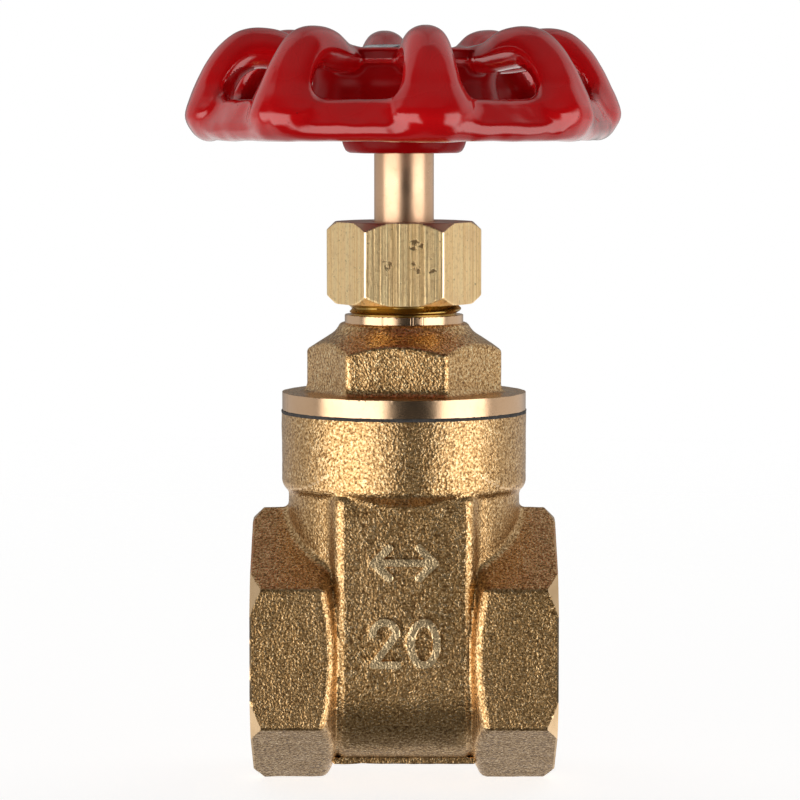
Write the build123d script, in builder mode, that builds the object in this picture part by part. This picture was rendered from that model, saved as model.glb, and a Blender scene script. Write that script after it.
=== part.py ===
from build123d import *
import os
from math import sin, cos, tan, radians, sqrt

# Screwed-bonnet gate valve, 3/4 inch, threaded ends, non-rising stem.
# Frame: X along the waterway, Z up the stem, origin under the middle of the
# valve at the level of its lowest edges.  Stored fully open.

os.makedirs("parts", exist_ok=True)

# ---------------------------------------------------------------- dimensions
# body
hex_af = 31.0                 # wrench size of the two ends
hex_edge_r = 0.8              # cast rounding of the hexagon's edges
hex_ac = hex_af / cos(radians(30))
bore_z = hex_ac / 2 - 0.1547 * hex_edge_r     # waterway axis above the base
end_x = 19.6                  # end faces
end_face_r = 16.4             # turned end-face circle
hex_in_x = 10.3               # where the inner 45 degree cone starts
hex_root_x = 8.2              # where it dies into the middle
hex_root_r = 15.3
block_x = 9.1                 # half width of the middle block
block_y = 14.0                # half depth of the middle block
block_z = 16.53               # centre of its round bottom
block_r = 1.6                 # rounding of its vertical edges
cyl_r = 15.0                  # round shoulder under the neck
neck_r = 15.88
neck_z0 = 38.2
neck_z1 = 48.0
mark_arrow_z = 30.0            # double-headed flow arrow
mark_size_z = 19.7             # nominal bore in millimetres
mark_h = 0.45
# waterway
thread_r = 12.06              # minor radius of the 3/4 pipe thread
socket_x = 7.1                # bottom of the sockets
port_r = 9.25                 # seat bore
mouth = 1.1                   # lead-in chamfer
# wedge and its pocket
wedge_angle = 3.5
wedge_half = 5.0              # half thickness at the disc's centre
wedge_r = 10.8
travel = 20.1
seat_gap = 0.04
pocket_r = 11.2
pocket_z1 = 33.0
chamber_r = 12.2
chamber_z1 = 41.0
lug_r = 5.2
lug_top = 32.4                # closed position
rib_y = 10.2
rib_half = 1.1
# bonnet
gasket_t = 0.4
flange_r = 15.84
flange_z0 = neck_z1 + gasket_t
flange_z1 = 50.7
bonnet_thread_r = 13.6
bonnet_bottom = 41.3
bonnet_af = 22.2
bonnet_turn = -5.0            # how far the bonnet was wound in
ring_r = 7.7                  # turned ring under the packing nut
neck_top = 67.0
# stem
stem_r = 3.865
stem_thread_r = 3.5
stem_end = 27.3
collar_r = 6.4
collar_z0 = 54.65
collar_z1 = 56.45
stem_shoulder = 81.65
square_af = 6.0
square_top = 90.4
stem_tip = 95.4
m6_r = 3.0
# packing
box_r = 5.75
box_z0 = 59.6
# packing nut
nut_af = 17.5
nut_z0 = 62.2
nut_z1 = 72.8
nut_roof = 69.6
# handwheel
wheel_r = 28.4
arm_count = 8
arm_first = 8.0               # first arm's bearing from -Y towards +X
arm_w = 6.0
rim_in = 21.6
rim_out = 25.9
hub_r = 7.95
disc_r = 12.9
skirt_r = 12.1                # ring hanging under the plate, open below
skirt_in = 10.6
skirt_z = 86.6
disc_z0 = 93.2
disc_z1 = 95.1
recess_z = 91.0
wheel_nut_af = 10.0
wheel_nut_top = 95.55

slope = tan(radians(wedge_angle))
open_shift = travel           # the wedge is drawn raised by this much


def half_at(z, centre, half):
    return half + (z - centre) * slope


# ------------------------------------------------------------------ the body
# middle block: round-bottomed, with rounded vertical edges
with BuildPart() as middle:
    with BuildSketch(Plane.YZ.offset(-block_x)):
        with Locations((0, block_z)):
            Circle(block_y)
        with Locations((0, (block_z + neck_z0 + 1) / 2)):
            Rectangle(2 * block_y, neck_z0 + 1 - block_z)
    extrude(amount=2 * block_x)
    ends = middle.faces().filter_by(Axis.X)
    fillet(ends.edges().filter_by(lambda e: e.center().Z < neck_z0 + 0.9), block_r)

# tapered pocket in which the wedge travels
with BuildPart() as pocket:
    with BuildSketch(Plane.XZ):
        z0, z1 = bore_z - pocket_r, pocket_z1 + 0.5
        a = half_at(z0, bore_z, wedge_half + seat_gap)
        b = half_at(z1, bore_z, wedge_half + seat_gap)
        with BuildLine():
            Polyline((-a, z0), (a, z0), (b, z1), (-b, z1), close=True)
        make_face()
    extrude(amount=pocket_r, both=True)
    with BuildSketch(Plane.YZ):
        with Locations((0, bore_z)):
            Circle(pocket_r)
        with Locations((0, (bore_z + z1) / 2)):
            Rectangle(2 * pocket_r, z1 - bore_z)
    extrude(amount=10, both=True, mode=Mode.INTERSECT)

with BuildPart() as body:
    # hexagonal ends, edges up and down
    with BuildSketch(Plane.YZ.offset(-end_x)) as hexagon:
        with Locations((0, bore_z)):
            RegularPolygon(radius=hex_ac / 2, side_count=6, rotation=90)
        fillet(hexagon.vertices(), hex_edge_r)
    extrude(amount=2 * end_x)
    # turned envelope of the ends: outer chamfer, inner cone, waist
    with BuildSketch(Plane.XZ):
        r_out = hex_ac / 2 + 0.01
        pts = [(-end_x, 0), (-end_x, end_face_r), (-end_x + r_out - end_face_r, r_out),
               (-hex_in_x, r_out), (-hex_root_x, hex_root_r), (-hex_root_x, 13.0)]
        pts = pts + [(-x, r) for x, r in reversed(pts)]
        with BuildLine():
            Polyline([(x, bore_z + r) for x, r in pts], close=True)
        make_face()
    revolve(axis=Axis((0, 0, bore_z), (1, 0, 0)), mode=Mode.INTERSECT)
    add(middle.part)
    # round shoulder over the waterway
    with BuildSketch(Plane.XY.offset(bore_z)):
        Circle(cyl_r)
        Rectangle(2 * cyl_r, 2 * (block_y - 0.4), mode=Mode.INTERSECT)
    extrude(amount=neck_z0 - bore_z)
    # neck ring
    with BuildSketch(Plane.XZ):
        with BuildLine():
            Polyline((0, 37.4), (cyl_r - 0.3, 37.4), (neck_r, neck_z0 + 0.3), (neck_r, neck_z1),
                     (0, neck_z1), close=True)
        make_face()
    revolve(axis=Axis.Z)
    # cast marks on the front pad: a double-headed flow arrow and the nominal bore
    with BuildSketch(Plane.XZ.offset(block_y - 0.3)):
        with BuildLine() as arrow:
            Line((-3.9, mark_arrow_z), (3.9, mark_arrow_z))
            Line((-3.9, mark_arrow_z), (-1.9, mark_arrow_z + 1.9))
            Line((-3.9, mark_arrow_z), (-1.9, mark_arrow_z - 1.9))
            Line((3.9, mark_arrow_z), (1.9, mark_arrow_z + 1.9))
            Line((3.9, mark_arrow_z), (1.9, mark_arrow_z - 1.9))
        trace(arrow.edges(), line_width=1.0)
    extrude(amount=0.3 + mark_h)
    with BuildSketch(Plane.XZ.offset(block_y - 0.3)):
        with BuildLine() as two:
            t1 = ThreePointArc((-4.0, mark_size_z + 1.2), (-2.5, mark_size_z + 2.7), (-1.0, mark_size_z + 1.2))
            t2 = Line(t1 @ 1, (-3.9, mark_size_z - 2.7))
            Line(t2 @ 1, (-0.8, mark_size_z - 2.7))
        trace(two.edges(), line_width=1.0)
        with Locations((2.5, mark_size_z)):
            Ellipse(2.15, 3.2)
            Ellipse(1.15, 2.2, mode=Mode.SUBTRACT)
    extrude(amount=0.3 + mark_h)
    # waterway, sockets and their lead-in chamfers
    with BuildSketch(Plane.XZ):
        pts = [(-end_x - 1, 0), (-end_x - 1, thread_r + mouth + 1), (-end_x, thread_r + mouth), (-end_x + mouth, thread_r),
               (-socket_x, thread_r), (-socket_x, port_r)]
        pts = pts + [(-x, r) for x, r in reversed(pts)]
        with BuildLine():
            Polyline([(x, bore_z + r) for x, r in pts], close=True)
        make_face()
    revolve(axis=Axis((0, 0, bore_z), (1, 0, 0)), mode=Mode.SUBTRACT)
    add(pocket.part, mode=Mode.SUBTRACT)
    # chamber above the sockets and the bonnet's threaded bore
    with BuildSketch(Plane.XZ):
        with BuildLine():
            Polyline((0, pocket_z1), (chamber_r, pocket_z1), (chamber_r, chamber_z1),
                     (bonnet_thread_r + 0.05, chamber_z1), (bonnet_thread_r + 0.05, neck_z1 - 0.5),
                     (bonnet_thread_r + 0.55, neck_z1), (bonnet_thread_r + 0.55, neck_z1 + 1), (0, neck_z1 + 1), close=True)
        make_face()
    revolve(axis=Axis.Z, mode=Mode.SUBTRACT)
    # guide ribs that stop the wedge from turning
    for side in (1, -1):
        with BuildSketch(Plane.XY.offset(10.0)):
            with Locations((0, side * (rib_y + 12.6) / 2)):
                Rectangle(2 * rib_half, 12.6 - rib_y)
        extrude(amount=40.4 - 10.0)
body.part.label = "body"
export_step(body.part, "parts/body.step")

# ---------------------------------------------------------------- wedge gate
wz = bore_z + open_shift
with BuildPart() as wedge_gate:
    with BuildSketch(Plane.XZ):
        z0, z1 = wz - wedge_r - 1, wz + wedge_r + 1
        a = half_at(z0, wz, wedge_half)
        b = half_at(z1, wz, wedge_half)
        with BuildLine():
            Polyline((-a, z0), (a, z0), (b, z1), (-b, z1), close=True)
        make_face()
    extrude(amount=wedge_r + 1, both=True)
    with BuildSketch(Plane.YZ):
        with Locations((0, wz)):
            Circle(wedge_r)
    extrude(amount=10, both=True, mode=Mode.INTERSECT)
    # threaded lug on top
    with BuildSketch(Plane.XY.offset(27.2 + open_shift)):
        Circle(lug_r)
    extrude(amount=lug_top - 27.2)
    # guide slots on both sides
    for side in (1, -1):
        with BuildSketch(Plane.XY.offset(wz - 12)):
            with Locations((0, side * (9.85 + 14) / 2)):
                Rectangle(2 * (rib_half + 0.3), 14 - 9.85)
        extrude(amount=24, mode=Mode.SUBTRACT)
    # relieved cheeks inside the two seat rings
    for side in (1, -1):
        with BuildSketch(Plane.YZ.offset(side * 9.0)):
            with Locations((0, wz)):
                Circle(8.2)
        extrude(amount=-side * (9.0 - wedge_half + 0.25), mode=Mode.SUBTRACT)
    # stem nut thread at the top, clearance below
    with BuildSketch(Plane.XY.offset(lug_top + open_shift - 9.5)):
        Circle(stem_thread_r + 0.05)
    extrude(amount=10, mode=Mode.SUBTRACT)
    with BuildSketch(Plane.XY.offset(wz - wedge_r - 1)):
        Circle(stem_thread_r + 0.2)
    extrude(amount=lug_top - 9.4 - bore_z + wedge_r + 1, mode=Mode.SUBTRACT)
wedge_gate.part.label = "wedge_gate"
export_step(wedge_gate.part, "parts/wedge_gate.step")

# ------------------------------------------------------------ bonnet gasket
with BuildPart() as bonnet_gasket:
    with BuildSketch(Plane.XY.offset(neck_z1)):
        Circle(neck_r + 0.05)
        Circle(bonnet_thread_r + 0.1, mode=Mode.SUBTRACT)
    extrude(amount=gasket_t)
bonnet_gasket.part.label = "bonnet_gasket"
export_step(bonnet_gasket.part, "parts/bonnet_gasket.step")

# -------------------------------------------------------------------- bonnet
with BuildPart() as bonnet_hex:
    with BuildSketch(Plane.XY.offset(flange_z1 - 0.5)) as bh:
        RegularPolygon(radius=bonnet_af / 2, side_count=6, major_radius=False, rotation=bonnet_turn)
        fillet(bh.vertices(), 0.9)
    extrude(amount=10)
    with BuildSketch(Plane.XZ):
        with BuildLine():
            Polyline((0, flange_z1 - 0.5), (14, flange_z1 - 0.5), (14, 58.7 - (14 - 8.72) * tan(radians(33))), (8.72, 58.7),
                     (8.3, 59.6), (0, 59.6), close=True)
        make_face()
    revolve(axis=Axis.Z, mode=Mode.INTERSECT)

with BuildPart() as bonnet:
    with BuildSketch(Plane.XZ):
        with BuildLine():
            Polyline((0, bonnet_bottom), (bonnet_thread_r - 0.5, bonnet_bottom), (bonnet_thread_r, bonnet_bottom + 0.5),
                     (bonnet_thread_r, flange_z0), (flange_r, flange_z0), (flange_r, flange_z1), (12.4, flange_z1),
                     (11.0, flange_z1 + 0.7), (0, flange_z1 + 0.7), close=True)
        make_face()
    revolve(axis=Axis.Z)
    add(bonnet_hex.part)
    # turned ring, thread relief and threaded neck
    with BuildSketch(Plane.XZ):
        with BuildLine():
            Polyline((0, 59.0), (ring_r, 59.0), (ring_r, 60.7), (7.1, 61.0), (7.1, 61.7), (ring_r - 0.1, 62.2),
                     (ring_r - 0.1, neck_top - 0.6), (7.0, neck_top), (0, neck_top), close=True)
        make_face()
    revolve(axis=Axis.Z)
    # cavity over the wedge, retaining-ring recess, collar seat, stem bore, stuffing box
    with BuildSketch(Plane.XZ):
        with BuildLine():
            Polyline((0, bonnet_bottom - 1), (chamber_r, bonnet_bottom - 1), (chamber_r, 45.0), (9.0, 49.0), (9.0, 51.6),
                     (8.0, 51.6), (8.0, 54.65), (6.7, 54.65), (6.7, 56.5), (stem_r + 0.085, 56.5), (stem_r + 0.085, box_z0),
                     (box_r, box_z0), (box_r, neck_top + 1), (0, neck_top + 1), close=True)
        make_face()
    revolve(axis=Axis.Z, mode=Mode.SUBTRACT)
bonnet.part.label = "bonnet"
export_step(bonnet.part, "parts/bonnet.step")

# ------------------------------------------------------- stem retaining ring
with BuildPart() as stem_retaining_ring:
    with BuildSketch(Plane.XY.offset(52.85)):
        Circle(7.95)
        Circle(stem_thread_r + 0.3, mode=Mode.SUBTRACT)
    extrude(amount=1.75)
    with BuildSketch(Plane.XY.offset(52.85)):
        with PolarLocations(5.8, 2):
            Circle(0.7)
    extrude(amount=1.0, mode=Mode.SUBTRACT)
stem_retaining_ring.part.label = "stem_retaining_ring"
export_step(stem_retaining_ring.part, "parts/stem_retaining_ring.step")

# ---------------------------------------------------------------------- stem
with BuildPart() as stem:
    with BuildSketch(Plane.XZ):
        with BuildLine():
            Polyline((0, stem_end), (stem_thread_r - 0.6, stem_end), (stem_thread_r, stem_end + 0.6),
                     (stem_thread_r, 53.9), (stem_thread_r, collar_z0), (collar_r, collar_z0), (collar_r, collar_z1),
                     (stem_r, collar_z1), (stem_r, square_top), (m6_r, square_top), (m6_r, stem_tip - 0.5),
                     (m6_r - 0.5, stem_tip), (0, stem_tip), close=True)
        make_face()
    revolve(axis=Axis.Z)
    # square that drives the handwheel
    with BuildSketch(Plane.XY.offset(stem_shoulder)):
        Circle(stem_r + 1)
        Rectangle(square_af, square_af, rotation=arm_first, mode=Mode.SUBTRACT)
    extrude(amount=square_top - stem_shoulder, mode=Mode.SUBTRACT)
stem.part.label = "stem"
export_step(stem.part, "parts/stem.step")

# ------------------------------------------------------------------- packing
with BuildPart() as packing_washer:
    with BuildSketch(Plane.XY.offset(box_z0)):
        Circle(box_r - 0.05)
        Circle(stem_r + 0.085, mode=Mode.SUBTRACT)
    extrude(amount=0.8)
packing_washer.part.label = "packing_washer"
export_step(packing_washer.part, "parts/packing_washer.step")

ring_h = 1.55
for i in range(3):
    z0 = box_z0 + 0.8 + i * ring_h
    with BuildPart() as packing_ring:
        with BuildSketch(Plane.XY.offset(z0)):
            Circle(box_r)
            Circle(stem_r + 0.06, mode=Mode.SUBTRACT)
        extrude(amount=ring_h)
    packing_ring.part.label = f"packing_ring_{i + 1}"
    export_step(packing_ring.part, f"parts/packing_ring_{i + 1}.step")
pack_top = box_z0 + 0.8 + 3 * ring_h

with BuildPart() as packing_gland:
    with BuildSketch(Plane.XZ):
        with BuildLine():
            Polyline((stem_r + 0.085, pack_top), (box_r - 0.05, pack_top), (box_r - 0.05, 67.7), (6.8, 67.7),
                     (6.8, nut_roof), (stem_r + 0.085, nut_roof), close=True)
        make_face()
    revolve(axis=Axis.Z)
packing_gland.part.label = "packing_gland"
export_step(packing_gland.part, "parts/packing_gland.step")

# --------------------------------------------------------------- packing nut
with BuildPart() as packing_nut:
    with BuildSketch(Plane.XY.offset(nut_z0)) as ph:
        RegularPolygon(radius=nut_af / 2, side_count=6, major_radius=False, rotation=30)
        fillet(ph.vertices(), 0.35)
    extrude(amount=nut_z1 - nut_z0)
    with BuildSketch(Plane.XZ):
        with BuildLine():
            Polyline((0, nut_z0), (8.9, nut_z0), (10.4, nut_z0 + 1.0), (10.4, nut_z1 - 1.0), (8.9, nut_z1),
                     (0, nut_z1), close=True)
        make_face()
    revolve(axis=Axis.Z, mode=Mode.INTERSECT)
    with BuildSketch(Plane.XZ):
        with BuildLine():
            Polyline((0, nut_z0 - 1), (8.1, nut_z0 - 1), (8.1, nut_z0), (ring_r - 0.05, nut_z0 + 0.45),
                     (ring_r - 0.05, nut_roof), (stem_r + 0.235, nut_roof), (stem_r + 0.235, nut_z1 - 0.3),
                     (stem_r + 0.535, nut_z1), (stem_r + 0.535, nut_z1 + 1), (0, nut_z1 + 1), close=True)
        make_face()
    revolve(axis=Axis.Z, mode=Mode.SUBTRACT)
packing_nut.part.label = "packing_nut"
export_step(packing_nut.part, "parts/packing_nut.step")

# ----------------------------------------------------------------- handwheel
# one arm, drawn along +X: a bar that rises from the rim, turns over and
# runs down to the central disc
with BuildPart() as arm:
    with BuildSketch(Plane.XZ):
        with BuildLine():
            outer = Spline((9.5, 94.9), (13.0, 96.0), (18.3, 97.7), (22.1, 97.1), (25.0, 94.5), (27.0, 90.9), (28.4, 87.0))
            lower = Spline(outer @ 1, (28.2, 85.2), (26.6, 83.9), (24.6, 83.7))
            inner = Spline(lower @ 1, (23.3, 86.6), (22.3, 89.1), (20.6, 91.7), (17.9, 92.5), (13.5, 92.0), (9.5, 91.9))
            Line(inner @ 1, outer @ 0)
        make_face()
    extrude(amount=arm_w / 2, both=True)
    fillet(arm.edges().filter_by(lambda e: e.center().X > 10.5 and abs(abs(e.center().Y) - arm_w / 2) < 1e-3), 1.3)

with BuildPart() as handwheel:
    # rim
    with BuildSketch(Plane.XZ) as rim:
        with BuildLine():
            Polyline((rim_in, 84.3), (rim_out - 1.6, 83.6), (rim_out, 85.2), (rim_out - 0.2, 88.9), (rim_in + 0.6, 88.9),
                     close=True)
        make_face()
        fillet(rim.vertices(), 0.75)
    revolve(axis=Axis.Z)
    # hub boss, column, skirt and central disc
    with BuildSketch(Plane.XZ):
        with BuildLine():
            Polyline((0, 81.65), (7.1, 81.65), (hub_r, 82.9), (hub_r, disc_z0 - 0.8), (skirt_in, disc_z0 - 0.8),
                     (skirt_in, skirt_z + 0.3), (skirt_in + 0.3, skirt_z), (skirt_r - 0.4, skirt_z), (skirt_r, skirt_z + 0.4),
                     (skirt_r, disc_z0), (disc_r - 0.4, disc_z0), (disc_r, disc_z0 + 0.4), (disc_r, disc_z1 - 0.5),
                     (disc_r - 0.5, disc_z1), (0, disc_z1), close=True)
        make_face()
    revolve(axis=Axis.Z)
    with PolarLocations(0, arm_count, start_angle=arm_first - 90):
        add(arm.part)
    # nut recess and square hole
    with BuildSketch(Plane.XY.offset(recess_z)):
        Circle(6.6)
    extrude(amount=8, mode=Mode.SUBTRACT)
    with BuildSketch(Plane.XY.offset(81)):
        Rectangle(square_af + 0.1, square_af + 0.1, rotation=arm_first)
    extrude(amount=12, mode=Mode.SUBTRACT)
handwheel.part.label = "handwheel"
export_step(handwheel.part, "parts/handwheel.step")

# ------------------------------------------------------------- handwheel nut
with BuildPart() as handwheel_nut:
    with BuildSketch(Plane.XY.offset(recess_z)):
        RegularPolygon(radius=wheel_nut_af / 2, side_count=6, major_radius=False, rotation=0)
    extrude(amount=wheel_nut_top - recess_z)
    with BuildSketch(Plane.XZ):
        with BuildLine():
            Polyline((0, recess_z), (5.2, recess_z), (5.8, recess_z + 0.4), (5.8, wheel_nut_top - 0.45), (4.9, wheel_nut_top),
                     (0, wheel_nut_top), close=True)
        make_face()
    revolve(axis=Axis.Z, mode=Mode.INTERSECT)
    with BuildSketch(Plane.XY.offset(recess_z)):
        Circle(m6_r + 0.03)
    extrude(amount=6, mode=Mode.SUBTRACT)
handwheel_nut.part.label = "handwheel_nut"
export_step(handwheel_nut.part, "parts/handwheel_nut.step")
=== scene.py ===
import math
import bpy
import numpy as np
from mathutils import Matrix, Vector


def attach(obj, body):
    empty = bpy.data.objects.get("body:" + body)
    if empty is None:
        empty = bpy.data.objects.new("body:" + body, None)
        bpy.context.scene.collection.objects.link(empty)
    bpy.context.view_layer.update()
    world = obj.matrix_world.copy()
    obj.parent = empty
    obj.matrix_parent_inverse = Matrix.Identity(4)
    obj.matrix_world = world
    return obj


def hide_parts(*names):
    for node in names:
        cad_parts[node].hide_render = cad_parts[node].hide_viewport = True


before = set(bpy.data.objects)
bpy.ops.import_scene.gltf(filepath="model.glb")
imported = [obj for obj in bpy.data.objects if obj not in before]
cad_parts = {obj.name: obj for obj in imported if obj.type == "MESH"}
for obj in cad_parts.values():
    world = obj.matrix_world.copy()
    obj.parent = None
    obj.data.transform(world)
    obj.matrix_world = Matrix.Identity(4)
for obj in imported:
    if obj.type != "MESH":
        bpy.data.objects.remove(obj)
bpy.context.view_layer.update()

MM = 0.001
LEVEL = 1.0      # grid scale; above 1 gives coarser grids while trying things

# ------------------------------------------------------------ sizes, in mm
AF = 31.0
EDGE = 0.8
BZ = AF / 2 / math.cos(math.radians(30)) - 0.1547 * EDGE     # waterway axis
END_X = 19.6
SLOPE = math.tan(math.radians(3.5))
NECK_R, NECK_Z0, NECK_Z1 = 15.88, 38.2, 48.0
FLANGE_R, FLANGE_Z0, FLANGE_Z1 = 15.84, 48.4, 50.7


# ------------------------------------------------------- distance functions
def smin(a, b, k):
    h = np.maximum(k - np.abs(a - b), 0.0) / k
    return np.minimum(a, b) - h * h * k * 0.25


def smax(a, b, k):
    return -smin(-a, -b, k)


def cut(a, b, r):
    """a and b both, with the edge between them rounded to radius r."""
    return np.minimum(np.maximum(a + r, b + r), 0.0) + np.hypot(np.maximum(a + r, 0.0), np.maximum(b + r, 0.0)) - r


def hexagon(u, v, apothem, r=0.0):
    """Regular hexagon with a flat towards +v."""
    a = apothem - r
    u = np.abs(u)
    v = np.abs(v)
    d = 2.0 * np.minimum(-0.8660254 * u + 0.5 * v, 0.0)
    u = u + 0.8660254 * d
    v = v - 0.5 * d
    u = u - np.clip(u, -0.57735027 * a, 0.57735027 * a)
    v = v - a
    return np.hypot(u, v) * np.sign(v) - r


def seg2(u, v, a, b):
    """Distance in a plane to the segment a-b."""
    bx, by = b[0] - a[0], b[1] - a[1]
    t = np.clip(((u - a[0]) * bx + (v - a[1]) * by) / (bx * bx + by * by), 0.0, 1.0)
    return np.hypot(u - a[0] - t * bx, v - a[1] - t * by)


class Lumps:
    """Smooth seeded noise in space, about -1 to 1."""

    def __init__(self, seed, scale, n=24):
        rng = np.random.default_rng(seed)
        self.n = n
        self.scale = scale
        self.g = rng.standard_normal((n, n, n)).astype(np.float32)

    def __call__(self, x, y, z):
        q = [np.asarray(c, dtype=np.float64) / self.scale for c in (x, y, z)]
        i = [np.floor(c).astype(np.int64) for c in q]
        f = [c - k for c, k in zip(q, i)]
        f = [t * t * (3 - 2 * t) for t in f]
        out = 0.0
        for a in (0, 1):
            for b in (0, 1):
                for c in (0, 1):
                    w = (f[0] if a else 1 - f[0]) * (f[1] if b else 1 - f[1]) * (f[2] if c else 1 - f[2])
                    out = out + w * self.g[(i[0] + a) % self.n, (i[1] + b) % self.n, (i[2] + c) % self.n]
        return out * 0.6


def contour(f, lo, hi, h, lam=0.03):
    """Closed surface f = 0 as vertices and quads, with its sharp edges kept."""
    lo = np.asarray(lo, float)
    hi = np.asarray(hi, float)
    n = np.ceil((hi - lo) / h).astype(int) + 1
    axes = [lo[a] + h * (np.arange(n[a]) + 0.37) for a in range(3)]
    d = np.empty(tuple(n), dtype=np.float32)
    step = max(1, int(1.2e6 / (n[1] * n[2])))
    for i in range(0, n[0], step):
        X, Y, Z = np.meshgrid(axes[0][i:i + step], axes[1], axes[2], indexing="ij")
        d[i:i + step] = f(X, Y, Z)
    inside = d < 0
    cells = tuple(n - 1)
    total = int(np.prod(cells))
    acc = np.zeros((13, total))
    quads = []
    for a in range(3):
        s0 = [slice(None)] * 3
        s1 = [slice(None)] * 3
        s0[a] = slice(0, -1)
        s1[a] = slice(1, None)
        for o in range(3):
            if o != a:
                s0[o] = slice(1, -1)
                s1[o] = slice(1, -1)
        A, B = inside[tuple(s0)], inside[tuple(s1)]
        idx = np.argwhere(A != B)
        if not len(idx):
            continue
        for o in range(3):
            if o != a:
                idx[:, o] += 1
        d0 = d[idx[:, 0], idx[:, 1], idx[:, 2]].astype(float)
        nxt = idx.copy()
        nxt[:, a] += 1
        d1 = d[nxt[:, 0], nxt[:, 1], nxt[:, 2]].astype(float)
        p0 = np.stack([axes[k][idx[:, k]] for k in range(3)], 1)
        t0 = np.zeros(len(idx))
        t1 = np.ones(len(idx))
        t = np.clip(d0 / (d0 - d1), 0.02, 0.98)
        for _ in range(3):
            p = p0.copy()
            p[:, a] += t * h
            dm = f(p[:, 0], p[:, 1], p[:, 2])
            same = (dm < 0) == (d0 < 0)
            t0 = np.where(same, t, t0)
            d0 = np.where(same, dm, d0)
            t1 = np.where(same, t1, t)
            d1 = np.where(same, d1, dm)
            t = t0 + (t1 - t0) * np.clip(d0 / (d0 - d1 + 1e-12), 0.05, 0.95)
        p = p0.copy()
        p[:, a] += t * h
        g = np.empty_like(p)
        e = 0.012
        for k in range(3):
            q = p.copy()
            q[:, k] += e
            r = p.copy()
            r[:, k] -= e
            g[:, k] = f(q[:, 0], q[:, 1], q[:, 2]) - f(r[:, 0], r[:, 1], r[:, 2])
        g /= np.linalg.norm(g, axis=1)[:, None] + 1e-12
        gp = (g * p).sum(1)
        vals = [g[:, 0] ** 2, g[:, 1] ** 2, g[:, 2] ** 2, g[:, 0] * g[:, 1], g[:, 0] * g[:, 2], g[:, 1] * g[:, 2],
                g[:, 0] * gp, g[:, 1] * gp, g[:, 2] * gp, p[:, 0], p[:, 1], p[:, 2], np.ones(len(p))]
        b, c = [(1, 2), (2, 0), (0, 1)][a]
        four = []
        for db, dc in ((0, 0), (-1, 0), (-1, -1), (0, -1)):
            cell = idx.copy()
            cell[:, b] += db
            cell[:, c] += dc
            flat = (cell[:, 0] * cells[1] + cell[:, 1]) * cells[2] + cell[:, 2]
            four.append(flat)
            for m, v in enumerate(vals):
                acc[m] += np.bincount(flat, weights=v, minlength=total)
        four = np.stack(four, 1)
        out = inside[idx[:, 0], idx[:, 1], idx[:, 2]]
        four[~out] = four[~out][:, ::-1]
        quads.append(four)
    quads = np.concatenate(quads)
    used = np.flatnonzero(acc[12] > 0)
    m = acc[:, used]
    cnt = m[12]
    mean = np.stack([m[9] / cnt, m[10] / cnt, m[11] / cnt], 1)
    M = np.empty((len(used), 3, 3))
    M[:, 0, 0], M[:, 1, 1], M[:, 2, 2] = m[0], m[1], m[2]
    M[:, 0, 1] = M[:, 1, 0] = m[3]
    M[:, 0, 2] = M[:, 2, 0] = m[4]
    M[:, 1, 2] = M[:, 2, 1] = m[5]
    rhs = np.stack([m[6], m[7], m[8]], 1) - np.einsum("nij,nj->ni", M, mean)
    M[:, [0, 1, 2], [0, 1, 2]] += lam * cnt[:, None]
    x = mean + np.linalg.solve(M, rhs[:, :, None])[:, :, 0]
    k = used % cells[2]
    j = (used // cells[2]) % cells[1]
    i = used // (cells[1] * cells[2])
    low = np.stack([axes[0][i], axes[1][j], axes[2][k]], 1)
    x = np.clip(x, low - 0.05 * h, low + 1.05 * h)
    lookup = np.full(total, -1, dtype=np.int64)
    lookup[used] = np.arange(len(used))
    return x, lookup[quads]


def mesh_from(name, verts, faces, sharp=32.0):
    me = bpy.data.meshes.new(name)
    faces = np.asarray(faces)
    me.vertices.add(len(verts))
    me.vertices.foreach_set("co", (np.asarray(verts) * MM).astype(np.float32).ravel())
    me.loops.add(faces.size)
    me.loops.foreach_set("vertex_index", faces.astype(np.int32).ravel())
    me.polygons.add(len(faces))
    me.polygons.foreach_set("loop_start", np.arange(0, faces.size, faces.shape[1], dtype=np.int32))
    me.update(calc_edges=True)
    me.validate()
    me.polygons.foreach_set("use_smooth", np.ones(len(me.polygons), dtype=bool))
    if sharp:
        me.set_sharp_from_angle(angle=math.radians(sharp))
    ob = bpy.data.objects.new(name, me)
    bpy.context.collection.objects.link(ob)
    return ob


# -------------------------------------------------------------- the castings
lumps_a = Lumps(11, 2.6)
lumps_b = Lumps(12, 1.1)
PITCH = 25.4 / 14


def thread_v(t, flat=0.12):
    """0 at the roots, 1 at the crests of a V thread, t in turns."""
    w = np.abs((t % 1.0) * 2.0 - 1.0)
    return np.clip((w - flat) / (1 - 2 * flat), 0.0, 1.0)


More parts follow.
